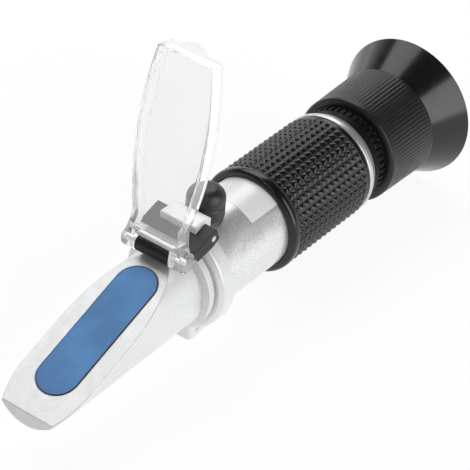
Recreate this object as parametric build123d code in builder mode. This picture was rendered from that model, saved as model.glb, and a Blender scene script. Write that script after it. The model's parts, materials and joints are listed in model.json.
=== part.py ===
from build123d import *
import os
from math import atan2, cos, pi, radians, sin, tan

# Handheld salinity refractometer, in millimetres.
# The optical axis is parallel to X, the nose points to -X and the eyecup to +X.
# Stations are distances along the optical axis from the nose tip.
# Radii and heights in the outlines are measured from the optical axis.

# Lengths along the optical axis, from the nose to the eyecup
nose_length = 54.1
front_ring_length = 1.9
groove_length = 0.5
collar_length = 5.2
bare_tube_length = 25.6
grip_length = 34.25
trim_length = 3.75
lock_ring_length = 5.0
focus_gap = 0.5
focus_ring_length = 19.5
eyecup_length = 10.5

# Tube, and how far each outer surface stands out from it or in from it
tube_radius = 12.65
tube_wall = 1.65
tip_step = 0.35
nose_side_step = 2.2
nose_root_step = 1.05
front_ring_step = 1.3
groove_step = 0.8
collar_step = 2.35
collar_chamfer = 1.0
grip_bead_step = 2.15
grip_step = 2.21
trim_step = 1.95
trim_rear_step = 0.75
lock_ring_step = 0.6
lock_teeth_step = 0.85
focus_nose_step = 2.0
focus_front_step = 2.5
focus_rear_step = 2.96
eyecup_root_step = 2.35
eyecup_rim_radius = 20.0

# Fits
slide_fit = 0.03
running_fit = 0.05
thread_fit = 0.05
rubber_clearance = 0.3
casting_clearance = 0.05
face_clearance = 0.05

# Slanted face and the window of the prism
face_drop = 9.26
face_angle = 21.45
window_half_width = 5.45
window_spacing = 30.1
window_start = 7.65
prism_proud = 0.1
prism_floor_drop = 7.5
seal_width = 0.3
seal_depth = 1.5
seal_recess = 0.05
seal_gap = 0.01
rim_chamfer = 0.25
rim_chamfer_angle = 45
face_edge_radius = 0.3
tip_lean = 13
nose_corner_radius = 4.0
light_bore_radius = 7.5

# Spigot of the tube in the housing
spigot_length = 7.4
spigot_step = 0.8
spigot_wall = 1.0
casting_wall = 0.6

# Boss on top of the collar and foot below it
boss_lead = 5.4
boss_length = 5.95
boss_half_width = 5.5
boss_rise = 3.1
boss_edge_radius = 0.5
foot_lead = 2.9
foot_length = 7.4
foot_flat_length = 3.0
foot_rise = 1.2
foot_half_width = 4.5
foot_corner_radius = 1.4
foot_edge_radius = 0.4
foot_recess_depth = 0.4
foot_recess_length = 3.4
foot_recess_height = 1.2
foot_recess_lift = 2.6

# Hinge block: leads are distances ahead of the collar's rear face
hinge_lead = 13.4
hinge_rise = 1.5
block_half_width = 9.2
block_gap = 0.1
block_front_rise = 2.4
block_nose_chamfer = 0.3
block_nose_rise = 3.0
block_top_lead = 1.7
block_top_rise = 2.3
block_rear_lead = 0.3
block_rear_drop = 1.0
block_heel_lead = 2.8
block_heel_drop = 2.4
block_toe_lead = 8.7
block_toe_drop = 0.3
block_edge_radius = 0.25
barrel_half_width = 5.2
barrel_radius = 2.5
barrel_nose = 2.1
barrel_nose_rise = 0.4
barrel_chin_drop = 0.9
barrel_neck_length = 1.5
barrel_neck_rise = 1.6
barrel_neck_drop = 1.2
hinge_pin_radius = 0.9
hinge_pin_inset = 0.3
block_pin_lead = 2.7
block_pin_radius = 0.75

# Daylight plate, measured from the hinge axis in the plate's own plane
lid_rest_angle = 81.0
tray_front = 2.77
tray_depth = 4.2
tray_floor = 1.3
tray_wall = 1.2
tray_start = 3.1
tray_end = 53.9
tray_end_half_width = 8.1
tray_middle = 30.8
tray_half_width = 10.3
neck_distance = 8.3
neck_half_width = 7.35
neck_curve_distance = 4.15
neck_curve_half_width = 8.05
ear_flare_distance = 1.4
ear_gap = 0.2
ear_radius = 2.6
heel_height = 1.4
tray_corner_radius = 1.2
tray_edge_radius = 0.4
tab_half_width = 4.5
tab_reach = 2.1
tab_thickness = 1.3

# Calibration screw, its bush and its cap
calibration_offset = 5.8
bush_radius = 2.6
bush_height = 1.95
screw_radius = 1.5
screw_head_radius = 2.0
screw_head_height = 1.55
screw_slot_width = 0.6
screw_slot_depth = 0.8
screw_tip_gap = 0.4
cap_radius = 4.95
cap_foot_radius = 4.3
cap_foot_height = 1.2
cap_height = 9.15
cap_crease_height = 4.55
cap_crease_depth = 0.15
cap_crease_width = 0.3
cap_dome_radius = 3.2
cap_head_clearance = 0.3
cap_roof = 4.2

# Objective on its bimetal strip
cell_length = 6.0
cell_clearance = 0.6
cell_wall = 2.4
objective_seat_step = 0.7
objective_seat_length = 1.0
objective_edge = 2.6
objective_bulge = 0.7
lens_rim = 0.9
retainer_length = 1.4
retainer_wall = 0.8
strip_width = 5.0
strip_thickness = 0.5
strip_inset = 1.35
strip_cell_overlap = 5.0
strip_reach = 30.5
saddle_length = 6.0
strip_screw_radius = 0.8
strip_screw_head_radius = 1.5
strip_screw_head_height = 1.0
strip_screw_spacing = 3.0
strip_screw_play = 0.15
strip_screw_cover = 0.25

# Baffle and reticle
baffle_gap = 5.0
baffle_length = 1.5
baffle_hole_radius = 6.0
reticle_gap = 8.5
reticle_thickness = 1.2
reticle_step = 1.5
seat_length = 2.0
seat_lip = 1.0
reticle_retainer_length = 1.2

# Eyepiece
barrel_length = 15.0
barrel_front_lip = 2.0
barrel_wall = 1.4
barrel_lip = 1.05
flange_length = 2.0
flange_step = 0.25
flange_room = 3.6
eyepiece_nose_length = 6.0
field_lens_edge = 2.2
field_lens_bulge = 0.8
spacer_length = 9.2
spacer_wall = 1.0
eye_lens_edge = 3.0
eye_lens_bulge = 0.9
eyepiece_rim = 1.4
eye_retainer_length = 2.4
eye_retainer_wall = 1.3
clip_thickness = 1.0
clip_groove_depth = 0.55
clip_step = 1.25
clip_room = 0.65
focus_lip_length = 1.95
guide_pin_offset = 5.0
guide_pin_radius = 0.75
guide_slot_length = 10.0
guide_slot_depth = 0.9

# Grip, rings, focus ring and eyecup
grip_bead_length = 2.5
grip_bead_round = 1.2
grip_bead_groove = 0.5
grip_bead_groove_depth = 0.35
trim_edge_radius = 0.3
trim_land = 1.25
lock_teeth_start = 2.4
lock_edge_radius = 0.12
focus_shoulder_length = 0.5
focus_rear_round = 0.9
eyecup_plug_wall = 2.46
eyecup_plug_length = 3.9
eyecup_hole_step = 0.6
eyecup_wall = 1.2
eyecup_floor = 1.2
eyecup_rim_round = 0.5
eyecup_rim_land = 0.6

# Label film on top of the tube
film_thickness = 0.07
film_lift = 0.01
film_half_angle = 40.5
film_length = 10.8
film_under_grip = 2.5

# Radii worked out from the tube
tip_radius = tube_radius - tip_step
nose_root_radius = tube_radius - nose_root_step
nose_side_radius = tube_radius - nose_side_step
front_ring_radius = nose_root_radius + front_ring_step
groove_radius = nose_root_radius + groove_step
collar_radius = tube_radius + collar_step
grip_bead_radius = tube_radius + grip_bead_step
grip_radius = tube_radius + grip_step
trim_radius = tube_radius + trim_step
trim_rear_radius = tube_radius + trim_rear_step
lock_ring_radius = tube_radius + lock_ring_step
lock_teeth_radius = tube_radius + lock_teeth_step
focus_nose_radius = tube_radius + focus_nose_step
focus_front_radius = tube_radius + focus_front_step
focus_rear_radius = tube_radius + focus_rear_step
eyecup_root_radius = tube_radius + eyecup_root_step
eyecup_plug_radius = focus_rear_radius - eyecup_plug_wall
tube_bore_radius = tube_radius - tube_wall
spigot_radius = tube_bore_radius - spigot_step
spigot_bore_radius = spigot_radius - spigot_wall
cell_radius = tube_bore_radius - cell_clearance
objective_radius = cell_radius - cell_wall
objective_seat_radius = objective_radius - objective_seat_step
reticle_radius = tube_bore_radius - reticle_step
seat_lip_radius = reticle_radius - seat_lip
eyepiece_radius = tube_bore_radius - running_fit
eyepiece_bore_radius = eyepiece_radius - barrel_wall
eyepiece_lip_radius = eyepiece_bore_radius - barrel_lip
flange_radius = tube_radius - flange_step
clip_radius = eyepiece_radius + clip_step
eyecup_hole_radius = tube_bore_radius + eyecup_hole_step

# Heights above the optical axis
boss_top = collar_radius + boss_rise
hinge_height = nose_root_radius + hinge_rise
block_pin_height = collar_radius
cap_top = tube_radius + cap_height
cap_hollow_radius = screw_head_radius + cap_head_clearance
cap_hollow_top = cap_top - cap_roof
strip_top_drop = cell_radius - strip_inset
strip_screw_depth = tube_radius - strip_screw_cover

# Stations worked out from the lengths
front_ring_end = nose_length + front_ring_length
groove_end = front_ring_end + groove_length
collar_end = groove_end + collar_length
grip_start = collar_end + bare_tube_length
grip_end = grip_start + grip_length
trim_end = grip_end + trim_length
lock_end = trim_end + lock_ring_length
focus_start = lock_end + focus_gap
focus_end = focus_start + focus_ring_length
overall_length = focus_end + eyecup_length
boss_start = collar_end - boss_lead
foot_start = collar_end - foot_lead
hinge_station = collar_end - hinge_lead
block_pin_station = collar_end - block_pin_lead
calibration_station = collar_end + calibration_offset
cell_start = calibration_station - cell_length / 2
strip_end = cell_start + cell_length + strip_reach
baffle_start = strip_end + baffle_gap
reticle_start = baffle_start + baffle_length + reticle_gap
plug_start = focus_end - eyecup_plug_length
flange_end = plug_start - clip_room - clip_thickness - focus_lip_length
flange_start = flange_end - flange_length
tube_end = flange_start - flange_room
ocular_start = flange_start - barrel_length
guide_pin_station = ocular_start + guide_pin_offset
film_start = grip_start - film_length

# The axis is as high as the eyecup's rim is wide, so the rim and the foot rest together
axis_height = eyecup_rim_radius
OPTICAL_AXIS = Axis((0, 0, axis_height), (1, 0, 0))


def at(station):
    """X of a station, with the middle of the overall length at zero."""
    return station - overall_length / 2


def face_height(station):
    """Height of the slanted face above the optical axis."""
    return station * tan(radians(face_angle)) - face_drop


def turned(*points, mode=Mode.ADD):
    """Revolve an outline of (station, radius) points about the optical axis."""
    with BuildSketch(Plane.XZ) as outline:
        with BuildLine():
            Polyline([(at(station), axis_height + radius) for station, radius in points], close=True)
        make_face()
    revolve(outline.sketch, axis=OPTICAL_AXIS, mode=mode)


def ring(start, end, inner, outer, mode=Mode.ADD):
    """Plain ring about the optical axis."""
    turned((start, inner), (end, inner), (end, outer), (start, outer), mode=mode)


def side_outline(*points, plane=Plane.XZ):
    """Face from (station, height) points, seen from the side."""
    with BuildSketch(plane) as outline:
        with BuildLine():
            Polyline([(at(station), axis_height + height) for station, height in points], close=True)
        make_face()
    return outline.sketch


def cross_hole(station, height, radius, half_length, mode=Mode.SUBTRACT):
    """Round bar or hole along Y."""
    with BuildSketch(Plane.XZ) as circle:
        with Locations((at(station), axis_height + height)):
            Circle(radius)
    extrude(circle.sketch, amount=half_length, both=True, mode=mode)


def upright(station, radius, low, high, mode=Mode.ADD):
    """Round bar or hole along Z."""
    with BuildSketch(Plane.XY.offset(axis_height + low)) as circle:
        with Locations((at(station), 0)):
            Circle(radius)
    extrude(circle.sketch, amount=high - low, mode=mode)


def lens(front, edge, radius, clear_radius, bulge):
    """Lens with two equally bulging faces inside a flat rim."""
    back = front + edge
    face_radius = (clear_radius**2 + bulge**2) / (2 * bulge)
    clear_z = axis_height + clear_radius
    with BuildSketch(Plane.XZ) as outline:
        with BuildLine():
            Polyline(
                (at(front), clear_z),
                (at(front), axis_height + radius),
                (at(back), axis_height + radius),
                (at(back), clear_z),
            )
            RadiusArc((at(back), clear_z), (at(back + bulge), axis_height), face_radius)
            Line((at(back + bulge), axis_height), (at(front - bulge), axis_height))
            RadiusArc((at(front - bulge), axis_height), (at(front), clear_z), face_radius)
        make_face()
    revolve(outline.sketch, axis=OPTICAL_AXIS)


radius_tolerance = 0.01


def outer_circles(piece, radius):
    """Circular edges of a turned piece that lie at a radius or outside it."""
    circles = piece.edges().filter_by(GeomType.CIRCLE)
    return circles.filter_by(lambda edge: edge.radius > radius - radius_tolerance)


face_plane = Plane(
    origin=(at(0), 0, axis_height - face_drop),
    x_dir=(cos(radians(face_angle)), 0, sin(radians(face_angle))),
    z_dir=(-sin(radians(face_angle)), 0, cos(radians(face_angle))),
)
window_middle = window_start + window_half_width + window_spacing / 2
window_end = window_start + 2 * window_half_width + window_spacing
prism_exit = window_end * cos(radians(face_angle))


def window_slot(plane, margin):
    """Stadium of the window, wider by a margin all round."""
    with BuildSketch(plane) as slot:
        with Locations((window_middle, 0)):
            SlotCenterToCenter(window_spacing, 2 * (window_half_width + margin))
    return slot.sketch


def below_window(top, depth, margin):
    """Block below the window, cut at the prism's floor and at its exit face."""
    with BuildPart() as block:
        extrude(window_slot(face_plane.offset(top), margin), amount=-depth)
        split(bisect_by=Plane.XY.offset(axis_height - prism_floor_drop), keep=Keep.TOP)
        split(bisect_by=Plane.YZ.offset(at(prism_exit) + margin), keep=Keep.BOTTOM)
    return block.part


prism_depth = 2 * tip_radius

# Cast nose with its collar, boss and foot: a deep round belly between upright sides, under a round crown
with BuildPart() as nose_belly:
    turned((0, 0), (0, tip_radius), (nose_length, nose_root_radius), (nose_length, 0))
    with Locations((at(nose_length / 2), 0, axis_height - tip_radius)):
        Box(nose_length, 2 * nose_side_radius, 2 * tip_radius, mode=Mode.INTERSECT)
    belly_corners = nose_belly.edges().filter_by(
        lambda edge: edge.bounding_box().size.X > nose_length / 2
        and axis_height - tip_radius < edge.center().Z < axis_height - nose_side_radius / 4
    )
    fillet(belly_corners, nose_corner_radius)
    lean_top = tip_radius * tan(radians(tip_lean))
    lean = side_outline((0, -tip_radius), (-1, -tip_radius), (-1, 0), (lean_top, 0))
    extrude(lean, amount=tip_radius, both=True, mode=Mode.SUBTRACT)

with BuildPart() as nose_crown:
    turned((lean_top, 0), (lean_top, nose_side_radius), (nose_length, nose_side_radius), (nose_length, 0))
    with Locations((at(nose_length / 2), 0, axis_height + tip_radius)):
        Box(nose_length, 2 * tip_radius, 2 * tip_radius, mode=Mode.INTERSECT)

with BuildPart() as prism_housing:
    add(nose_belly.part)
    add(nose_crown.part)
    turned(
        (nose_length, 0),
        (nose_length, front_ring_radius),
        (front_ring_end, front_ring_radius),
        (front_ring_end, groove_radius),
        (groove_end, groove_radius),
        (groove_end, collar_radius - collar_chamfer),
        (groove_end + collar_chamfer, collar_radius),
        (collar_end, collar_radius),
        (collar_end, 0),
    )
    fillet(outer_circles(prism_housing, collar_radius), boss_edge_radius)
    slope = side_outline(
        (-1, face_height(-1)),
        (nose_length, face_height(nose_length)),
        (nose_length, 2 * collar_radius),
        (-1, 2 * collar_radius),
    )
    extrude(slope, amount=collar_radius, both=True, mode=Mode.SUBTRACT)
    flat = prism_housing.faces().sort_by(lambda face: abs(face_plane.to_local_coords(face.center()).Z))[0]
    fillet(flat.outer_wire().edges(), face_edge_radius)

    boss_floor = spigot_radius + casting_wall
    boss_middle = (boss_floor + boss_top) / 2
    with Locations((at(boss_start + boss_length / 2), 0, axis_height + boss_middle)):
        Box(boss_length, 2 * boss_half_width, boss_top - boss_floor)
    boss_top_edges = prism_housing.faces().sort_by(Axis.Z)[-1].edges()
    fillet(boss_top_edges, boss_edge_radius)

    foot_end = foot_start + foot_length
    foot_side = side_outline(
        (foot_start, -boss_floor),
        (foot_start, -axis_height),
        (foot_start + foot_flat_length, -axis_height),
        (foot_end, foot_rise - axis_height),
        (foot_end, -boss_floor),
    )
    with BuildPart(mode=Mode.PRIVATE) as foot:
        extrude(foot_side, amount=foot_half_width, both=True)
        fillet(foot.edges().filter_by(Axis.Z), foot_corner_radius)
        fillet(foot.faces().sort_by(Axis.Z)[0].outer_wire().edges(), foot_edge_radius)
        with Locations(Plane.XZ.offset(foot_half_width), Plane.XZ.offset(-foot_half_width)):
            with Locations((at(foot_start + foot_length / 2), foot_recess_lift)):
                Box(foot_recess_length, foot_recess_height, 2 * foot_recess_depth, mode=Mode.SUBTRACT)
    add(foot.part)

    spigot_start = collar_end - spigot_length
    ring(spigot_start - face_clearance, collar_end, 0, spigot_radius + slide_fit, mode=Mode.SUBTRACT)
    ring(collar_end, foot_end + 1, 0, tube_radius + slide_fit, mode=Mode.SUBTRACT)
    ring(prism_exit - 1, spigot_start, 0, light_bore_radius, mode=Mode.SUBTRACT)
    extrude(
        window_slot(face_plane, seal_width + rim_chamfer),
        amount=-rim_chamfer,
        taper=rim_chamfer_angle,
        mode=Mode.SUBTRACT,
    )
    add(below_window(rim_chamfer, prism_depth, seal_width), mode=Mode.SUBTRACT)
    cross_hole(block_pin_station, block_pin_height, block_pin_radius + slide_fit, collar_radius)

with BuildPart() as prism:
    add(below_window(prism_proud, prism_depth, 0))

with BuildPart() as prism_seal:
    add(below_window(-seal_recess, seal_depth, seal_width - seal_gap))
    add(below_window(prism_proud, prism_depth, seal_gap), mode=Mode.SUBTRACT)

# Tube with the spigot that sits in the housing and the thread for focusing
saddle_middle = strip_end - saddle_length / 2
strip_screw_stations = [saddle_middle - strip_screw_spacing / 2, saddle_middle + strip_screw_spacing / 2]
with BuildPart() as main_tube:
    turned(
        (spigot_start, spigot_bore_radius),
        (collar_end, spigot_bore_radius),
        (collar_end + 1, tube_bore_radius),
        (tube_end, tube_bore_radius),
        (tube_end, tube_radius),
        (collar_end, tube_radius),
        (collar_end, spigot_radius),
        (spigot_start, spigot_radius),
    )
    upright(calibration_station, bush_radius + slide_fit, 0, collar_radius, mode=Mode.SUBTRACT)
    upright(guide_pin_station, guide_pin_radius + slide_fit, -collar_radius, 0, mode=Mode.SUBTRACT)
    for station in strip_screw_stations:
        upright(station, strip_screw_radius + slide_fit, -strip_screw_depth, 0, mode=Mode.SUBTRACT)

with BuildPart() as guide_pin:
    pin_tip = guide_slot_depth / 2 - tube_bore_radius
    upright(guide_pin_station, guide_pin_radius, face_clearance - tube_radius, pin_tip)

film_radius = tube_radius + film_lift
film_end = grip_start + film_under_grip
with BuildPart() as label_film:
    ring(film_start, film_end, film_radius, film_radius + film_thickness)
    wedge_reach = 2 * collar_radius
    edge_y = wedge_reach * sin(radians(film_half_angle))
    edge_z = axis_height + wedge_reach * cos(radians(film_half_angle))
    with BuildSketch(Plane.YZ.offset(at(film_start))) as wedge:
        with BuildLine():
            Polyline((0, axis_height), (edge_y, edge_z), (-edge_y, edge_z), close=True)
        make_face()
    extrude(wedge.sketch, amount=film_end - film_start, mode=Mode.INTERSECT)

# Sleeve and rings round the tube
sleeve_bore_radius = film_radius + film_thickness + slide_fit
with BuildPart() as rubber_grip:
    bead_end = grip_start + grip_bead_length
    groove_floor = grip_radius - grip_bead_groove_depth
    turned(
        (grip_start, sleeve_bore_radius),
        (grip_end, sleeve_bore_radius),
        (grip_end, grip_radius),
        (bead_end + grip_bead_groove, grip_radius),
        (bead_end + grip_bead_groove, groove_floor),
        (bead_end, groove_floor),
        (bead_end, grip_bead_radius),
        (grip_start, grip_bead_radius),
    )
    bead_edge = outer_circles(rubber_grip, grip_bead_radius).sort_by(Axis.X)[0]
    fillet(bead_edge, grip_bead_round)

with BuildPart() as trim_ring:
    turned(
        (grip_end, sleeve_bore_radius),
        (trim_end, sleeve_bore_radius),
        (trim_end, trim_rear_radius),
        (grip_end + trim_land, trim_radius),
        (grip_end, trim_radius),
    )
    fillet(outer_circles(trim_ring, trim_radius), trim_edge_radius)

with BuildPart() as lock_ring:
    teeth_start = trim_end + lock_teeth_start
    turned(
        (trim_end, sleeve_bore_radius),
        (lock_end, sleeve_bore_radius),
        (lock_end, lock_teeth_radius),
        (teeth_start, lock_teeth_radius),
        (teeth_start, lock_ring_radius),
        (trim_end, lock_ring_radius),
    )
    fillet(outer_circles(lock_ring, lock_teeth_radius), lock_edge_radius)

# Hinge block that straddles the boss and carries the barrel of the hinge
ear_outer = block_half_width
ear_inner = barrel_half_width + ear_gap
web_front = hinge_station + ear_radius + rubber_clearance
block_side = side_outline(
    (web_front, nose_root_radius + block_front_rise),
    (web_front + block_nose_chamfer, nose_root_radius + block_nose_rise),
    (collar_end - block_top_lead, collar_radius + block_top_rise),
    (collar_end - block_rear_lead, collar_radius - block_rear_drop),
    (collar_end - block_heel_lead, collar_radius - block_heel_drop),
    (collar_end - block_toe_lead, nose_root_radius - block_toe_drop),
)
with BuildPart() as hinge_block:
    extrude(block_side, amount=block_half_width, both=True)
    top_edges = hinge_block.faces().sort_by(Axis.Z)[-1].edges().filter_by(Axis.Y, reverse=True)
    fillet(top_edges, block_edge_radius)
    web_end = boss_start - block_gap
    with Locations((at(web_end), 0, axis_height + boss_top / 2)):
        Box(
            2 * boss_length,
            2 * (boss_half_width + block_gap),
            boss_top,
            align=(Align.MIN, Align.CENTER, Align.CENTER),
            mode=Mode.SUBTRACT,
        )
    barrel_side = side_outline(
        (hinge_station, hinge_height + barrel_radius),
        (hinge_station - barrel_nose, hinge_height + barrel_nose_rise),
        (hinge_station - barrel_radius, hinge_height - barrel_chin_drop),
        (hinge_station, hinge_height - barrel_radius),
        (web_front + barrel_neck_length, hinge_height - barrel_neck_drop),
        (web_front + barrel_neck_length, hinge_height + barrel_neck_rise),
    )
    extrude(barrel_side, amount=barrel_half_width, both=True)
    cross_hole(hinge_station, hinge_height, barrel_radius, barrel_half_width, mode=Mode.ADD)
    turned(
        (0, 0),
        (0, nose_side_radius + casting_clearance),
        (nose_length - casting_clearance, nose_side_radius + casting_clearance),
        (nose_length - casting_clearance, front_ring_radius + casting_clearance),
        (groove_end - casting_clearance, front_ring_radius + casting_clearance),
        (groove_end - casting_clearance, collar_radius + casting_clearance),
        (collar_end + 1, collar_radius + casting_clearance),
        (collar_end + 1, 0),
        mode=Mode.SUBTRACT,
    )
    cross_hole(hinge_station, hinge_height, hinge_pin_radius + slide_fit, collar_radius)
    cross_hole(block_pin_station, block_pin_height, block_pin_radius + slide_fit, collar_radius)

with BuildPart() as hinge_pin:
    cross_hole(hinge_station, hinge_height, hinge_pin_radius, ear_outer - hinge_pin_inset, mode=Mode.ADD)

with BuildPart() as block_pin:
    cross_hole(block_pin_station, block_pin_height, block_pin_radius, block_half_width, mode=Mode.ADD)

# Clear daylight plate: a tray, open to the back, on two ears
hinge_point = (at(hinge_station), 0, axis_height + hinge_height)
lid_along = (cos(radians(lid_rest_angle)), 0, sin(radians(lid_rest_angle)))
lid_plane = Plane(
    origin=hinge_point,
    x_dir=lid_along,
    z_dir=(-sin(radians(lid_rest_angle)), 0, cos(radians(lid_rest_angle))),
)
lid_side_plane = Plane(origin=hinge_point, x_dir=lid_along, z_dir=(0, -1, 0))


def tray_outline(plane):
    """Outline of the tray and its ears, from above."""
    with BuildSketch(plane) as outline:
        with BuildLine():
            Line((tray_end, 0), (tray_end, tray_end_half_width))
            ThreePointArc(
                (tray_end, tray_end_half_width),
                (tray_middle, tray_half_width),
                (neck_distance, neck_half_width),
            )
            ThreePointArc(
                (neck_distance, neck_half_width),
                (neck_curve_distance, neck_curve_half_width),
                (ear_flare_distance, ear_outer),
            )
            Polyline((ear_flare_distance, ear_outer), (-2 * ear_radius, ear_outer), (-2 * ear_radius, 0))
            mirror(about=Plane.XZ)
        make_face()
        fillet(outline.vertices().group_by(Axis.X)[-1], tray_corner_radius)
    return outline.sketch


tray_back = tray_front - tray_depth
with BuildPart() as daylight_plate:
    extrude(tray_outline(lid_plane.offset(-2 * ear_radius)), amount=2 * ear_radius + tray_front)
    with BuildSketch(lid_side_plane) as lid_side:
        with Locations((tray_end / 2, tray_front - tray_depth / 2)):
            Rectangle(tray_end, tray_depth)
        Circle(ear_radius)
    extrude(lid_side.sketch, amount=2 * ear_outer, both=True, mode=Mode.INTERSECT)
    front_face = daylight_plate.faces().sort_by(lambda face: lid_plane.to_local_coords(face.center()).Z)[-1]
    tray_edges = front_face.edges().filter_by(
        lambda edge: lid_plane.to_local_coords(edge.center()).X > neck_distance
    )
    fillet(tray_edges, tray_edge_radius)
    tray_low = tray_start + tray_wall
    with BuildPart(mode=Mode.PRIVATE) as hollow:
        with BuildSketch(lid_plane.offset(-2 * ear_radius)) as inner:
            add(offset(tray_outline(Plane.XY), amount=-tray_wall, mode=Mode.PRIVATE))
            with Locations((tray_low, 0)):
                Rectangle(
                    2 * tray_end,
                    4 * ear_outer,
                    align=(Align.MIN, Align.CENTER),
                    mode=Mode.INTERSECT,
                )
        extrude(inner.sketch, amount=2 * ear_radius + tray_front - tray_floor)
    add(hollow.part, mode=Mode.SUBTRACT)
    with BuildSketch(lid_plane.offset(tray_back)) as tab:
        with BuildLine():
            ThreePointArc(
                (tray_end - tray_wall / 2, -tab_half_width),
                (tray_end + tab_reach, 0),
                (tray_end - tray_wall / 2, tab_half_width),
            )
            Line((tray_end - tray_wall / 2, tab_half_width), (tray_end - tray_wall / 2, -tab_half_width))
        make_face()
    extrude(tab.sketch, amount=tab_thickness)
    heel = side_outline(
        (hinge_station, hinge_height),
        (web_front - face_clearance, hinge_height),
        (web_front - face_clearance, hinge_height + heel_height),
        (hinge_station, hinge_height + ear_radius - rubber_clearance),
    )
    extrude(heel, amount=ear_outer, both=True)
    with BuildSketch(lid_plane.offset(-2 * ear_radius)) as barrel_gap:
        with Locations((tray_start, 0)):
            Rectangle(2 * tray_end, 2 * ear_inner, align=(Align.MAX, Align.CENTER))
    extrude(barrel_gap.sketch, amount=4 * ear_radius, mode=Mode.SUBTRACT)
    cross_hole(hinge_station, hinge_height, hinge_pin_radius + slide_fit, collar_radius)

# Calibration screw in its bush, under the rubber cap
bush_top = tube_radius + bush_height
with BuildPart() as calibration_bush:
    upright(calibration_station, bush_radius, tube_bore_radius, bush_top)
    upright(calibration_station, screw_radius + slide_fit, 0, collar_radius, mode=Mode.SUBTRACT)

screw_head_low = bush_top + face_clearance
screw_top = screw_head_low + screw_head_height
with BuildPart() as calibration_screw:
    upright(calibration_station, screw_radius, cell_radius + screw_tip_gap, screw_head_low)
    upright(calibration_station, screw_head_radius, screw_head_low, screw_top)
    with Locations((at(calibration_station), 0, axis_height + screw_top)):
        Box(2 * screw_head_radius, screw_slot_width, 2 * screw_slot_depth, mode=Mode.SUBTRACT)

with BuildPart() as calibration_cap:
    cap_axis = Axis((at(calibration_station), 0, 0), (0, 0, 1))
    shoulder_height = tube_radius + cap_foot_height
    crease_height = tube_radius + cap_crease_height
    with BuildSketch(Plane.XZ.shift_origin((at(calibration_station), 0, axis_height))) as cap_side:
        with BuildLine():
            Line((0, cap_top), (cap_radius - cap_dome_radius, cap_top))
            ThreePointArc(
                (cap_radius - cap_dome_radius, cap_top),
                (
                    cap_radius - cap_dome_radius * (1 - sin(pi / 4)),
                    cap_top - cap_dome_radius * (1 - cos(pi / 4)),
                ),
                (cap_radius, cap_top - cap_dome_radius),
            )
            Polyline(
                (cap_radius, cap_top - cap_dome_radius),
                (cap_radius, crease_height + cap_crease_width),
                (cap_radius - cap_crease_depth, crease_height),
                (cap_radius, crease_height - cap_crease_width),
                (cap_radius, shoulder_height),
                (cap_foot_radius, tube_bore_radius),
                (0, tube_bore_radius),
                (0, cap_top),
            )
        make_face()
    revolve(cap_side.sketch, axis=cap_axis)
    upright(calibration_station, bush_radius + running_fit, 0, screw_head_low, mode=Mode.SUBTRACT)
    upright(calibration_station, cap_hollow_radius, 0, cap_hollow_top, mode=Mode.SUBTRACT)
    ring(collar_end, film_start, 0, tube_radius + rubber_clearance, mode=Mode.SUBTRACT)

# Objective in its cell, carried by the bimetal strip
strip_top = -strip_top_drop
strip_bottom = strip_top - strip_thickness
with BuildPart() as objective_cell:
    lens_start = cell_start + objective_seat_length
    turned(
        (cell_start, objective_seat_radius),
        (lens_start, objective_seat_radius),
        (lens_start, objective_radius + slide_fit),
        (cell_start + cell_length, objective_radius + slide_fit),
        (cell_start + cell_length, cell_radius),
        (cell_start, cell_radius),
    )
    with Locations((at(cell_start), 0, axis_height + strip_top)):
        Box(
            2 * cell_length,
            strip_width + 2 * slide_fit,
            cell_radius,
            align=(Align.CENTER, Align.CENTER, Align.MAX),
            mode=Mode.SUBTRACT,
        )

lens_front = lens_start + face_clearance
with BuildPart() as objective_lens:
    lens(lens_front, objective_edge, objective_radius, objective_radius - lens_rim, objective_bulge)

retainer_start = lens_front + objective_edge + face_clearance
with BuildPart() as objective_retainer:
    retainer_end = retainer_start + retainer_length
    ring(retainer_start, retainer_end, objective_radius - retainer_wall, objective_radius)

strip_start = cell_start + cell_length - strip_cell_overlap
with BuildPart() as compensator_strip:
    with Locations((at(strip_start), 0, axis_height + strip_bottom)):
        Box(strip_end - strip_start, strip_width, strip_thickness, align=(Align.MIN, Align.CENTER, Align.MIN))
    for station in strip_screw_stations:
        upright(station, strip_screw_radius + strip_screw_play, strip_bottom, strip_top, mode=Mode.SUBTRACT)

with BuildPart() as strip_saddle:
    ring(strip_end - saddle_length, strip_end, 0, tube_bore_radius - slide_fit)
    with Locations((at(strip_end - saddle_length), 0, axis_height - tube_bore_radius)):
        Box(
            saddle_length,
            strip_width,
            tube_bore_radius + strip_bottom - face_clearance,
            align=(Align.MIN, Align.CENTER, Align.MIN),
            mode=Mode.INTERSECT,
        )
    for station in strip_screw_stations:
        upright(station, strip_screw_radius + slide_fit, -collar_radius, 0, mode=Mode.SUBTRACT)

with BuildPart() as strip_screws:
    head_low = strip_top + face_clearance
    for station in strip_screw_stations:
        upright(station, strip_screw_radius, face_clearance - strip_screw_depth, head_low)
        upright(station, strip_screw_head_radius, head_low, head_low + strip_screw_head_height)

# Baffle and reticle in the tube
seat_radius = tube_bore_radius - slide_fit
with BuildPart() as light_baffle:
    ring(baffle_start, baffle_start + baffle_length, baffle_hole_radius, seat_radius)

reticle_end = reticle_start + reticle_thickness
with BuildPart() as reticle_seat:
    seat_end = reticle_end + face_clearance + reticle_retainer_length
    turned(
        (reticle_start - seat_length, seat_lip_radius),
        (reticle_start, seat_lip_radius),
        (reticle_start, reticle_radius + slide_fit),
        (seat_end, reticle_radius + slide_fit),
        (seat_end, seat_radius),
        (reticle_start - seat_length, seat_radius),
    )

with BuildPart() as reticle:
    ring(reticle_start, reticle_end, 0, reticle_radius)

with BuildPart() as reticle_retainer:
    ring(reticle_end + face_clearance, seat_end, seat_lip_radius, reticle_radius)

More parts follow.
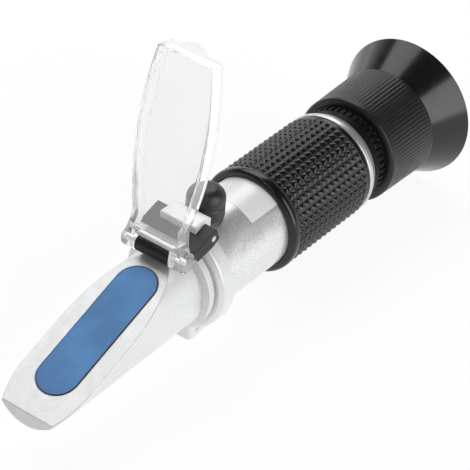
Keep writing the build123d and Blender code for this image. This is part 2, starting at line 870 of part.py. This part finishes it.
# Eyepiece: a keyed cell with two lenses
ocular_end = flange_end + eyepiece_nose_length
clip_start = flange_end + focus_lip_length + 2 * face_clearance
with BuildPart() as ocular_cell:
    field_start = ocular_start + barrel_front_lip
    turned(
        (ocular_start, eyepiece_lip_radius),
        (field_start, eyepiece_lip_radius),
        (field_start, eyepiece_bore_radius + slide_fit),
        (ocular_end, eyepiece_bore_radius + slide_fit),
        (ocular_end, eyepiece_radius),
        (clip_start + clip_thickness + face_clearance, eyepiece_radius),
        (clip_start + clip_thickness + face_clearance, eyepiece_radius - clip_groove_depth),
        (clip_start - face_clearance, eyepiece_radius - clip_groove_depth),
        (clip_start - face_clearance, eyepiece_radius),
        (flange_end, eyepiece_radius),
        (flange_end, flange_radius),
        (flange_start, flange_radius),
        (flange_start, eyepiece_radius),
        (ocular_start, eyepiece_radius),
    )
    with Locations((at(ocular_start), 0, axis_height - eyepiece_radius)):
        Box(
            2 * guide_slot_length,
            2 * (guide_pin_radius + running_fit),
            2 * guide_slot_depth,
            mode=Mode.SUBTRACT,
        )

field_front = field_start + face_clearance
eyepiece_clear_radius = eyepiece_bore_radius - eyepiece_rim
with BuildPart() as field_lens:
    lens(field_front, field_lens_edge, eyepiece_bore_radius, eyepiece_clear_radius, field_lens_bulge)

spacer_start = field_front + field_lens_edge + face_clearance
spacer_end = spacer_start + spacer_length
with BuildPart() as lens_spacer:
    ring(spacer_start, spacer_end, eyepiece_bore_radius - spacer_wall, eyepiece_bore_radius)

eye_front = spacer_end + face_clearance
with BuildPart() as eye_lens:
    lens(eye_front, eye_lens_edge, eyepiece_bore_radius, eyepiece_clear_radius, eye_lens_bulge)

eye_retainer_start = eye_front + eye_lens_edge + face_clearance
with BuildPart() as eye_lens_retainer:
    ring(
        eye_retainer_start,
        eye_retainer_start + eye_retainer_length,
        eyepiece_bore_radius - eye_retainer_wall,
        eyepiece_bore_radius,
    )

with BuildPart() as ocular_clip:
    ring(
        clip_start,
        clip_start + clip_thickness,
        eyepiece_radius - clip_groove_depth + slide_fit,
        clip_radius,
    )

# Focus ring on the tube's thread, held on the cell between its flange and the clip
with BuildPart() as focus_ring:
    bore = tube_radius + thread_fit
    lip_start = flange_end + face_clearance
    lip_end = lip_start + focus_lip_length
    shoulder_end = focus_start + focus_shoulder_length
    turned(
        (focus_start, bore),
        (focus_start, focus_nose_radius),
        (shoulder_end, focus_front_radius),
        (focus_end, focus_rear_radius),
        (focus_end, eyecup_plug_radius + slide_fit),
        (plug_start, eyecup_plug_radius + slide_fit),
        (plug_start, clip_radius + running_fit),
        (lip_end, clip_radius + running_fit),
        (lip_end, eyepiece_radius + running_fit),
        (lip_start, eyepiece_radius + running_fit),
        (lip_start, bore),
    )
    fillet(outer_circles(focus_ring, focus_rear_radius), focus_rear_round)

# Flared eyecup with its plug in the focus ring
with BuildPart() as eyecup:
    cone_angle = atan2(eyecup_rim_radius - eyecup_root_radius, eyecup_length - eyecup_rim_land)
    cone_wall = eyecup_wall / cos(cone_angle)
    cone_inner_radius = eyecup_root_radius + eyecup_floor * tan(cone_angle) - cone_wall
    turned(
        (plug_start + face_clearance, eyecup_hole_radius),
        (focus_end + eyecup_floor, eyecup_hole_radius),
        (focus_end + eyecup_floor, cone_inner_radius),
        (overall_length - eyecup_rim_land, eyecup_rim_radius - cone_wall),
        (overall_length, eyecup_rim_radius - cone_wall),
        (overall_length, eyecup_rim_radius),
        (overall_length - eyecup_rim_land, eyecup_rim_radius),
        (focus_end, eyecup_root_radius),
        (focus_end, eyecup_plug_radius),
        (plug_start + face_clearance, eyecup_plug_radius),
    )
    rim_edges = eyecup.edges().filter_by(GeomType.CIRCLE).group_by(Axis.X)[-1]
    fillet(rim_edges, eyecup_rim_round)

pieces = {
    "prism_housing": prism_housing,
    "prism": prism,
    "prism_seal": prism_seal,
    "main_tube": main_tube,
    "label_film": label_film,
    "rubber_grip": rubber_grip,
    "trim_ring": trim_ring,
    "lock_ring": lock_ring,
    "hinge_block": hinge_block,
    "hinge_pin": hinge_pin,
    "block_pin": block_pin,
    "daylight_plate": daylight_plate,
    "calibration_bush": calibration_bush,
    "calibration_screw": calibration_screw,
    "calibration_cap": calibration_cap,
    "objective_cell": objective_cell,
    "objective_lens": objective_lens,
    "objective_retainer": objective_retainer,
    "compensator_strip": compensator_strip,
    "strip_saddle": strip_saddle,
    "strip_screws": strip_screws,
    "light_baffle": light_baffle,
    "reticle_seat": reticle_seat,
    "reticle": reticle,
    "reticle_retainer": reticle_retainer,
    "guide_pin": guide_pin,
    "ocular_cell": ocular_cell,
    "field_lens": field_lens,
    "lens_spacer": lens_spacer,
    "eye_lens": eye_lens,
    "eye_lens_retainer": eye_lens_retainer,
    "ocular_clip": ocular_clip,
    "focus_ring": focus_ring,
    "eyecup": eyecup,
}
os.makedirs("parts", exist_ok=True)
for name, piece in pieces.items():
    piece.part.label = name
    export_step(piece.part, f"parts/{name}.step")
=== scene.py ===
import json
from math import cos, pi, radians, sin, tau

import bmesh
import bpy
from mathutils import Matrix, Vector


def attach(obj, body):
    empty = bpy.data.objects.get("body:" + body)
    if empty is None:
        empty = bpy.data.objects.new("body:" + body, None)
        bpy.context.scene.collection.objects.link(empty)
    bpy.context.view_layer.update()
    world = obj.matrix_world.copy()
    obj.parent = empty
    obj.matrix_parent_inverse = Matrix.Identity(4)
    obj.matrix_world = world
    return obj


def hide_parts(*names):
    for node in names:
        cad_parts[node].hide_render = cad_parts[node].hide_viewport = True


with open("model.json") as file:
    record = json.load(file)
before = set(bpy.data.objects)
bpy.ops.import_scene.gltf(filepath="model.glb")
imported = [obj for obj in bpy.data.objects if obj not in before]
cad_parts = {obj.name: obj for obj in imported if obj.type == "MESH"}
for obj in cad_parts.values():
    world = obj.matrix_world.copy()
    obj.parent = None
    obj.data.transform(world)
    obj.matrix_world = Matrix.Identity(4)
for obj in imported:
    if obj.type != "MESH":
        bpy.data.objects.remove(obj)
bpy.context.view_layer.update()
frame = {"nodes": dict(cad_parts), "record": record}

nodes = frame["nodes"]
MM = 0.001

# Shared places, in millimetres. Stations run along the optical axis from the nose tip.
HALF_LENGTH = 80.4
AXIS_HEIGHT = 20.0
SLEEVE_BORE = 12.76         # grip and lock ring, on the tube
GRIP_START, GRIP_END = 87.3, 121.55
TRIM_END = 125.3
LOCK_END = 130.3
FOCUS_START, FOCUS_END = 130.8, 150.3


# Shader helpers
def add(tree, kind, links=None, **settings):
    """A shader node with its settings and its inputs, each input a value or another node's socket."""
    made = tree.nodes.new(kind)
    for name, value in settings.items():
        setattr(made, name, value)
    for key, value in (links or {}).items():
        if isinstance(value, bpy.types.NodeSocket):
            tree.links.new(value, made.inputs[key])
        else:
            made.inputs[key].default_value = value
    return made


def coordinates(tree, stretch=(1, 1, 1)):
    """The row's own coordinates, stretched so that a texture can run along one direction."""
    where = add(tree, "ShaderNodeTexCoord")
    return add(tree, "ShaderNodeMapping", {"Vector": where.outputs["Object"], "Scale": stretch}).outputs[0]


def clouds(tree, size_mm, detail=3.0, rough=0.5, stretch=(1, 1, 1)):
    """Smooth noise whose lumps are about size_mm across."""
    return add(tree, "ShaderNodeTexNoise",
               {"Vector": coordinates(tree, stretch), "Scale": 1 / (size_mm * MM), "Detail": detail,
                "Roughness": rough}).outputs["Fac"]


def between(tree, factor, low, high, start=0.0, stop=1.0):
    """low to high as factor goes from start to stop."""
    return add(tree, "ShaderNodeMapRange",
               {"Value": factor, "From Min": start, "From Max": stop, "To Min": low, "To Max": high},
               clamp=True).outputs[0]


def blend_colours(tree, factor, first, second, how="MIX"):
    mix = add(tree, "ShaderNodeMix", data_type="RGBA", blend_type=how)
    for socket, value in zip((mix.inputs[0], mix.inputs[6], mix.inputs[7]), (factor, first, second)):
        if isinstance(value, bpy.types.NodeSocket):
            tree.links.new(value, socket)
        else:
            socket.default_value = value
    return mix.outputs[2]


def combine(tree, how, a, b, clamp=False):
    return add(tree, "ShaderNodeMath", {0: a, 1: b}, operation=how, use_clamp=clamp).outputs[0]


def worn_edges(tree, radius_mm, patch_mm):
    """1 on sharp edges that stand out, broken up so that the wear is uneven."""
    soft = add(tree, "ShaderNodeBevel", {"Radius": radius_mm * MM}, samples=6)
    plain = add(tree, "ShaderNodeNewGeometry")
    dot = add(tree, "ShaderNodeVectorMath",
              {0: soft.outputs[0], 1: plain.outputs["Normal"]}, operation="DOT_PRODUCT").outputs["Value"]
    edge = between(tree, dot, 1.0, 0.0, 0.90, 0.995)
    patches = between(tree, clouds(tree, patch_mm, 2), 0.25, 1.0, 0.35, 0.65)
    return combine(tree, "MULTIPLY", edge, patches)


def rgba(colour):
    return (*colour, 1.0)


def scaled(colour, amount):
    return tuple(min(1.0, c * amount) for c in colour)


def surface(name, colour, roughness, metallic=0.0, *, tint=0.06, tint_mm=14.0, grain=0.06, grain_mm=0.3,
            stretch=(1, 1, 1), rough_spread=0.10, rough_mm=3.0, bump=0.15, bump_mm=0.12, bump_height=0.01,
            edge=None, edge_amount=0.5, edge_mm=0.15, soften_mm=None, **sockets):
    """A finish with its colour, roughness and relief varied by noise, and worn edges."""
    material = bpy.data.materials.new(name)
    material.use_nodes = True
    tree = material.node_tree
    shader = tree.nodes["Principled BSDF"]
    for key, value in {"Metallic": metallic, **sockets}.items():
        shader.inputs[key.replace("_", " ")].default_value = value
    low, high = rgba(scaled(colour, 1 - tint)), rgba(scaled(colour, 1 + tint))
    shade = blend_colours(tree, between(tree, clouds(tree, tint_mm), 0, 1, 0.3, 0.7), low, high)
    speck = clouds(tree, grain_mm, 2, 0.6, stretch)
    light = between(tree, speck, 1 - grain, 1 + grain, 0.3, 0.7)
    grey = add(tree, "ShaderNodeCombineXYZ", {0: light, 1: light, 2: light}).outputs[0]
    speckled = blend_colours(tree, 1.0, shade, grey, "MULTIPLY")
    if edge is not None:
        worn = combine(tree, "MULTIPLY", worn_edges(tree, edge_mm, 2.5), edge_amount)
        speckled = blend_colours(tree, worn, speckled, rgba(edge))
    tree.links.new(speckled, shader.inputs["Base Color"])
    rough = between(tree, clouds(tree, rough_mm, 4, 0.6, stretch), roughness - rough_spread,
                    roughness + rough_spread, 0.3, 0.7)
    tree.links.new(rough, shader.inputs["Roughness"])
    relief = add(tree, "ShaderNodeBump",
                 {"Strength": bump, "Distance": bump_height * MM,
                  "Height": clouds(tree, bump_mm, 3, 0.6, stretch)})
    if soften_mm is not None:
        rounded = add(tree, "ShaderNodeBevel", {"Radius": soften_mm * MM}, samples=8)
        tree.links.new(rounded.outputs[0], relief.inputs["Normal"])
    tree.links.new(relief.outputs[0], shader.inputs["Normal"])
    return material


def clear(name, colour, roughness, ior, shadow, *, haze=0.0, scratch=0.03, **sockets):
    """Clear glass or plastic whose shadow lets most of the light through; haze is the milky share."""
    material = surface(name, colour, roughness, tint=0.01, grain=0.005, rough_spread=scratch, rough_mm=6.0,
                       bump=0.02, bump_mm=5.0, bump_height=0.01, soften_mm=0.35, Transmission_Weight=1 - haze,
                       IOR=ior, **sockets)
    tree = material.node_tree
    shader, output = tree.nodes["Principled BSDF"], tree.nodes["Material Output"]
    path = add(tree, "ShaderNodeLightPath")
    through = add(tree, "ShaderNodeBsdfTransparent", {"Color": rgba(shadow)})
    mix = add(tree, "ShaderNodeMixShader", {0: path.outputs["Is Shadow Ray"], 1: shader.outputs[0],
                                            2: through.outputs[0]})
    tree.links.new(mix.outputs[0], output.inputs["Surface"])
    return material


# Finishes
MATERIALS = {
    "silver_paint": surface(
        "silver_paint", (0.75, 0.755, 0.76), 0.42, 0.38, tint=0.03, grain=0.09, grain_mm=0.32,
        rough_spread=0.05, bump=0.45, bump_mm=0.30, bump_height=0.014, edge=(0.90, 0.90, 0.90),
        edge_amount=0.7),
    "tube_metal": surface(
        "tube_metal", (0.79, 0.795, 0.80), 0.34, 0.78, tint=0.03, grain=0.20, grain_mm=0.36,
        rough_spread=0.05, bump=0.6, bump_mm=0.34, bump_height=0.018, edge=(0.85, 0.85, 0.85)),
    "bright_metal": surface(
        "bright_metal", (0.66, 0.66, 0.67), 0.40, 1.0, tint=0.03, grain=0.05, grain_mm=0.12,
        stretch=(6, 1, 1), rough_spread=0.05, bump=0.12, bump_mm=0.12, bump_height=0.006,
        edge=(0.75, 0.75, 0.75)),
    "film": surface(
        "film", (0.84, 0.845, 0.85), 0.35, 0.20, tint=0.015, grain=0.02, grain_mm=0.5, rough_spread=0.04,
        bump=0.1, bump_mm=3.0, bump_height=0.02, edge=(0.75, 0.75, 0.75), edge_amount=0.8, edge_mm=0.10),
    "matte_black": surface(
        "matte_black", (0.010, 0.010, 0.010), 0.42, tint=0.15, grain=0.20, grain_mm=0.35, rough_spread=0.08,
        bump=0.45, bump_mm=0.25, bump_height=0.014, edge=(0.22, 0.22, 0.22), edge_amount=0.7, edge_mm=0.20,
        Specular_IOR_Level=0.34),
    # A darker, less shiny copy of matte_black: painted shade for the lock ring, which sits recessed between
    # the trim and focus rings.
    "painted_shade_black": surface(
        "painted_shade_black", (0.004, 0.004, 0.004), 0.45, tint=0.15, grain=0.20, grain_mm=0.35, rough_spread=0.08,
        bump=0.35, bump_mm=0.25, bump_height=0.012, edge=(0.05, 0.05, 0.05), edge_amount=0.5,
        Specular_IOR_Level=0.12),
    "satin_black": surface(
        "satin_black", (0.007, 0.007, 0.007), 0.38, tint=0.15, grain=0.18, grain_mm=0.35, rough_spread=0.05,
        bump=0.20, bump_mm=0.25, bump_height=0.010, edge=(0.06, 0.06, 0.06), edge_amount=0.5,
        Specular_IOR_Level=0.42),
    "gloss_black": surface(
        "gloss_black", (0.006, 0.006, 0.006), 0.20, tint=0.15, grain=0.15, grain_mm=1.2, rough_spread=0.03,
        bump=0.10, bump_mm=2.5, bump_height=0.010, edge=(0.06, 0.06, 0.06), edge_amount=0.5),
    "grip_rubber": surface(
        "grip_rubber", (0.004, 0.004, 0.004), 0.22, tint=0.2, grain=0.25, grain_mm=0.4, rough_spread=0.04,
        bump=0.12, bump_mm=0.2, bump_height=0.010, edge=(0.03, 0.03, 0.03), edge_amount=0.35),
    "cap_rubber": surface(
        "cap_rubber", (0.011, 0.011, 0.012), 0.38, tint=0.3, grain=0.35, grain_mm=0.5, rough_spread=0.10,
        bump=0.9, bump_mm=0.50, bump_height=0.040, edge=(0.16, 0.16, 0.16), edge_amount=0.6, edge_mm=0.20),
    "seal_rubber": surface(
        "seal_rubber", (0.004, 0.016, 0.080), 0.40, tint=0.1, grain=0.1, edge=(0.03, 0.06, 0.12)),
    "prism_glass": surface(
        "prism_glass", (0.100, 0.265, 0.555), 0.14, tint=0.16, tint_mm=11.0, grain=0.02, grain_mm=2.0,
        rough_spread=0.03, rough_mm=5.0, bump=0.04, bump_mm=4.0, bump_height=0.01,
        edge=(0.10, 0.25, 0.45), edge_amount=0.5, edge_mm=0.12, Specular_IOR_Level=0.12),
    "steel": surface(
        "steel", (0.62, 0.62, 0.63), 0.26, 1.0, tint=0.05, grain=0.12, grain_mm=0.2, edge=(0.8, 0.8, 0.8)),
    "brass": surface(
        "brass", (0.70, 0.50, 0.20), 0.28, 1.0, tint=0.08, grain=0.10, grain_mm=0.2, edge=(0.9, 0.72, 0.4)),
    "bimetal": surface(
        "bimetal", (0.62, 0.40, 0.22), 0.32, 1.0, tint=0.08, grain=0.12, grain_mm=0.2, stretch=(0.2, 1, 1),
        edge=(0.8, 0.6, 0.4)),
    "black_metal": surface(
        "black_metal", (0.020, 0.020, 0.020), 0.5, 0.2, tint=0.15, grain=0.2, grain_mm=0.3,
        edge=(0.2, 0.2, 0.2), edge_amount=0.4),
    "clear_plastic": clear(
        "clear_plastic", (0.920, 0.923, 0.923), 0.03, 1.16, (0.92, 0.92, 0.92), haze=0.13,
        edge=(0.60, 0.61, 0.61), edge_amount=0.6, edge_mm=0.30),
    "lens_glass": clear("lens_glass", (0.94, 0.97, 0.965), 0.03, 1.52, (0.90, 0.93, 0.92), scratch=0.01),
}
for part in frame["record"]["subparts"]:
    cad = nodes[part["node"]]
    cad.data.materials.clear()
    cad.data.materials.append(MATERIALS[part["material_slot"]])


# Mesh helpers
def place(station, radius, angle):
    """A point on the round body: angle 0 is the top and grows towards -Y."""
    return Vector(((station - HALF_LENGTH) * MM, -radius * sin(angle) * MM,
                   (AXIS_HEIGHT + radius * cos(angle)) * MM))


def turned(name, profile, angles, slot, levels=0, finish=None):
    """A closed ring: profile is a closed loop of (station, radius), where radius may depend on the angle."""
    shape = bmesh.new()
    rings = []
    for station, radius in profile:
        rings.append([shape.verts.new(place(station, radius(a) if callable(radius) else radius, a))
                      for a in angles])
    count = len(angles)
    for i, here in enumerate(rings):
        after = rings[(i + 1) % len(rings)]
        for j in range(count):
            k = (j + 1) % count
            shape.faces.new((here[j], here[k], after[k], after[j]))
    bmesh.ops.recalc_face_normals(shape, faces=shape.faces)
    mesh = bpy.data.meshes.new(name)
    shape.to_mesh(mesh)
    shape.free()
    mesh.polygons.foreach_set("use_smooth", [True] * len(mesh.polygons))
    piece = bpy.data.objects.new(name, mesh)
    bpy.context.scene.collection.objects.link(piece)
    mesh.materials.append(MATERIALS[finish or slot])
    if levels:
        smooth = piece.modifiers.new("smooth", "SUBSURF")
        smooth.levels = smooth.render_levels = levels
    return piece


def around(count, shape, shift=0.0):
    """The angles of count equal features, shape giving (share of a pitch, height), and the height at each."""
    height_at = {(number + shift + share) / count * tau: height
                 for number in range(count) for share, height in shape}
    return list(height_at), height_at


def sharp(piece, degrees):
    """Keeps edges sharper than this many degrees crisp."""
    piece.data.set_sharp_from_angle(angle=radians(degrees))


# Rubber grip: a bead round its front edge, then rows of four-sided studs
STUD_ROWS, STUD_PITCH, STUDS_AROUND = 13, 2.183, 43
SHORT_ROW, FIRST_ROW = 90.55, 91.91
SHORT_ROW_HEIGHT = 0.9
STUD_SHAPE = ((0.0, 0.0), (0.06, 0.04), (0.11, 0.28), (0.30, 0.63), (0.47, 0.96), (0.53, 0.96), (0.70, 0.63),
              (0.89, 0.28), (0.94, 0.04))
STUD_HEIGHT = 0.55
STUD_TOP, BEAD_RADIUS, GRIP_RADIUS = 14.86, 14.80, 14.40
GRIP_CHAMFER = 0.12
GRIP_MIDDLE = 104.0


def stud_stations():
    """(station, share of the height) along the axis: a short row, then the whole rows."""
    short = FIRST_ROW - SHORT_ROW
    for share, height in STUD_SHAPE:
        yield SHORT_ROW + share * short, height * SHORT_ROW_HEIGHT
    for row in range(STUD_ROWS):
        for share, height in STUD_SHAPE:
            yield FIRST_ROW + (row + share) * STUD_PITCH, height
    yield FIRST_ROW + STUD_ROWS * STUD_PITCH, 0.0


stud_angles, stud_at = around(STUDS_AROUND, STUD_SHAPE, shift=-0.5)


def studded(height):
    return lambda angle: STUD_TOP - STUD_HEIGHT * (1 - min(height, stud_at[angle]))


bead = [(GRIP_START, SLEEVE_BORE + GRIP_CHAMFER), (GRIP_START, 13.2), (GRIP_START + 0.02, 13.62),
        (GRIP_START + 0.16, 14.10), (GRIP_START + 0.48, 14.53), (GRIP_START + 0.90, 14.75),
        (GRIP_START + 1.35, BEAD_RADIUS), (GRIP_START + 2.10, BEAD_RADIUS), (GRIP_START + 2.40, 14.74),
        (GRIP_START + 2.52, 14.60), (GRIP_START + 2.60, 14.42), (GRIP_START + 2.95, GRIP_RADIUS)]
grip_profile = bead + [(s, studded(h)) for s, h in stud_stations()]
grip_profile += [(GRIP_END - 0.30, GRIP_RADIUS), (GRIP_END - 0.12, 14.38), (GRIP_END, 14.2),
                 (GRIP_END, 13.0), (GRIP_END - GRIP_CHAMFER, SLEEVE_BORE), (GRIP_MIDDLE, SLEEVE_BORE),
                 (GRIP_START + GRIP_CHAMFER, SLEEVE_BORE)]
studded_grip = turned("studded_grip", grip_profile, stud_angles, "grip_rubber", levels=1)
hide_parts("rubber_grip")
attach(studded_grip, "root")

# Lock ring: a plain band, then teeth that face the focus ring
TEETH = 44
TOOTH_SHAPE = ((0.0, 0.0), (0.14, 0.0), (0.24, 1.0), (0.50, 1.0), (0.76, 1.0), (0.86, 0.0))
TEETH_START = 127.7
LOCK_RADIUS, TEETH_RADIUS, TEETH_ROOT = 13.25, 13.50, 13.05
LOCK_CHAMFER = 0.10
tooth_angles, tooth_at = around(TEETH, TOOTH_SHAPE)


def toothed(root, tip):
    return lambda angle: root + (tip - root) * tooth_at[angle]


lock_profile = [
    (TRIM_END, SLEEVE_BORE), (TRIM_END, LOCK_RADIUS - LOCK_CHAMFER), (TRIM_END + LOCK_CHAMFER, LOCK_RADIUS),
    (TEETH_START - 0.30, LOCK_RADIUS), (TEETH_START - 0.18, LOCK_RADIUS),
    (TEETH_START, toothed(LOCK_RADIUS - 0.04, 13.34)),
    (TEETH_START + 0.20, toothed(LOCK_RADIUS - 0.16, TEETH_RADIUS - 0.02)),
    (TEETH_START + 0.30, toothed(TEETH_ROOT, TEETH_RADIUS)),
    (LOCK_END - 0.15, toothed(TEETH_ROOT, TEETH_RADIUS)),
    (LOCK_END - 0.05, toothed(TEETH_ROOT, TEETH_RADIUS - 0.04)),
    (LOCK_END, toothed(13.02, TEETH_RADIUS - 0.14)), (LOCK_END, SLEEVE_BORE)]
# The lock ring wears the darker copy of matte_black, so the shade of its recess is painted into its colour.
toothed_ring = turned("toothed_lock_ring", lock_profile, tooth_angles, "matte_black", finish="painted_shade_black")
sharp(toothed_ring, 32)
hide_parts("lock_ring")
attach(toothed_ring, "root")

# Focus ring: a rounded shoulder, ribs along its tapered side, and the steps of its bore
RIBS = 88
RIB_SHAPE = ((0.0, 0.0), (0.16, 0.25), (0.32, 0.85), (0.50, 1.0), (0.68, 0.85), (0.84, 0.25))
RIB_DEPTH = 0.10
FRONT_RADIUS, REAR_RADIUS, SHOULDER_END = 15.15, 15.61, 131.3
RIM_RADIUS, THREAD_BORE, CUP_BORE, CLIP_BORE, NECK_BORE = 14.70, 12.70, 13.18, 12.27, 11.02
NECK_START, CLIP_START, CUP_START = 142.95, 144.70, 146.40
# (station, share of the rib depth)
RIB_RUN = ((132.80, 0.0), (133.00, 0.45), (133.35, 1.0), (137.0, 1.0), (141.0, 1.0), (145.0, 1.0),
           (148.70, 1.0), (149.00, 0.45), (149.20, 0.0))
rib_angles, rib_at = around(RIBS, RIB_SHAPE)


def side_radius(station):
    """The ring's outer radius between its shoulder and its rear edge."""
    return FRONT_RADIUS + (REAR_RADIUS - FRONT_RADIUS) * (station - SHOULDER_END) / (FOCUS_END - SHOULDER_END)


def ribbed(station, share):
    """Rib tops on the ring's own side, grooves as deep as share of the full depth."""
    return lambda angle: side_radius(station) - share * RIB_DEPTH * (1 - rib_at[angle])


focus_profile = [
    (FOCUS_START, THREAD_BORE), (FOCUS_START, 14.52), (FOCUS_START + 0.08, 14.70),
    (FOCUS_START + 0.40, 15.03), (SHOULDER_END, 15.13), (SHOULDER_END + 0.5, side_radius(SHOULDER_END + 0.5))]
focus_profile += [(s, ribbed(s, share)) for s, share in RIB_RUN]
focus_profile += [
    (149.42, 15.585), (149.75, 15.52), (150.04, 15.32), (150.23, 15.03), (FOCUS_END, RIM_RADIUS),
    (FOCUS_END, 13.25), (FOCUS_END - 0.08, CUP_BORE), (CUP_START, CUP_BORE), (CUP_START, CLIP_BORE),
    (CLIP_START, CLIP_BORE), (CLIP_START, NECK_BORE), (NECK_START, NECK_BORE), (NECK_START, THREAD_BORE)]
ribbed_ring = turned("ribbed_focus_ring", focus_profile, rib_angles, "satin_black")
sharp(ribbed_ring, 50)
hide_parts("focus_ring")
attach(ribbed_ring, "focus")

# Panels of light, in metres: centre, the point that each faces, width, height and strength
PANELS = {
    "top_panel": ((0.50, 0.70, 1.0), (0.50, 0.70, 0.0), 1.60, 0.94, 2.6),
    "side_panel": ((0.075, -1.0, 0.60), (0.075, 0.0, 0.60), 0.85, 1.16, 3.2),
}


def panel(name, centre, target, width, height, strength):
    """A soft panel of light that mirrors show and the camera doesn't."""
    lamp = bpy.data.lights.new(name, "AREA")
    lamp.shape = "RECTANGLE"
    lamp.size, lamp.size_y = width, height
    lamp.energy = strength * width * height * pi
    holder = bpy.data.objects.new(name, lamp)
    holder.location = centre
    holder.rotation_euler = (Vector(target) - Vector(centre)).to_track_quat("-Z", "Y").to_euler()
    holder.visible_camera = False
    bpy.context.scene.collection.objects.link(holder)


for name, settings in PANELS.items():
    panel(name, *settings)

# Floor of pale paper, just under the object
FLOOR_HALF, FLOOR_DROP = 4.0, 0.0005
PAPER_GREY, PAPER_GLOW = 0.12, 0.90
floor_mesh = bpy.data.meshes.new("floor")
corners = ((-FLOOR_HALF, -FLOOR_HALF), (FLOOR_HALF, -FLOOR_HALF), (FLOOR_HALF, FLOOR_HALF),
           (-FLOOR_HALF, FLOOR_HALF))
floor_mesh.from_pydata([(x, y, -FLOOR_DROP) for x, y in corners], [], [(0, 1, 2, 3)])
floor = bpy.data.objects.new("floor", floor_mesh)
bpy.context.scene.collection.objects.link(floor)
paper = bpy.data.materials.new("paper")
paper.use_nodes = True
paper_shader = paper.node_tree.nodes["Principled BSDF"]
for key, value in {"Base Color": (PAPER_GREY, PAPER_GREY, PAPER_GREY, 1), "Roughness": 1.0,
                   "Specular IOR Level": 0.0, "Emission Color": (1, 1, 1, 1),
                   "Emission Strength": PAPER_GLOW}.items():
    paper_shader.inputs[key].default_value = value
floor_mesh.materials.append(paper)

# Studio: a dim room with a low bright wall behind the object, plain white where it is seen directly
WALL_STRENGTH, WALL_FROM, WALL_TO = 1.25, 0.05, 0.5
ROOM_LOW, ROOM_HIGH, ROOM_TOP = 0.34, 0.08, 0.75
BEHIND_FROM, BEHIND_TO = 0.3, 1.0
world = bpy.data.worlds.new("studio")
bpy.context.scene.world = world
world.use_nodes = True
sky = world.node_tree
background = sky.nodes["Background"]
direction = add(sky, "ShaderNodeTexCoord")
axes = add(sky, "ShaderNodeSeparateXYZ", {0: direction.outputs["Generated"]}).outputs
behind = between(sky, combine(sky, "ADD", axes[0], axes[1]), 0, 1, BEHIND_FROM, BEHIND_TO)
wall = combine(sky, "MULTIPLY", behind, between(sky, axes[2], WALL_STRENGTH, 0.0, WALL_FROM, WALL_TO))
dim = combine(sky, "ADD", between(sky, axes[2], ROOM_LOW, ROOM_HIGH, 0.0, ROOM_TOP), wall)
path = add(sky, "ShaderNodeLightPath")
seen = combine(sky, "MAXIMUM", path.outputs["Is Camera Ray"], path.outputs["Is Transmission Ray"])
strength = add(sky, "ShaderNodeMix", {0: seen, 2: dim, 3: 1.0}, data_type="FLOAT")
sky.links.new(strength.outputs[0], background.inputs["Strength"])
background.inputs["Color"].default_value = (1, 1, 1, 1)

# Camera at the photograph's viewing angle
SENSOR_MM, LENS_MM = 36.0, 199.149
EYE = (-0.44093, -0.29749, 0.417425)
RIGHT = Vector((0.6019201, -0.79508167, 0.07441323))
DOWN = Vector((-0.44285402, -0.40989592, -0.79741184))
FORWARD = Vector((0.66450922, 0.44702402, -0.59882971))
lens = bpy.data.cameras.new("camera")
lens.sensor_width, lens.lens = SENSOR_MM, LENS_MM
lens.clip_start, lens.clip_end = 0.01, 50.0
camera = bpy.data.objects.new("camera", lens)
camera.matrix_world = Matrix.Translation(EYE) @ Matrix((RIGHT, -DOWN, -FORWARD)).transposed().to_4x4()
bpy.context.scene.collection.objects.link(camera)
bpy.context.scene.camera = camera

bpy.context.scene.view_settings.view_transform = "Standard"
bpy.context.scene.view_settings.look = "None"

bpy.context.view_layer.update()
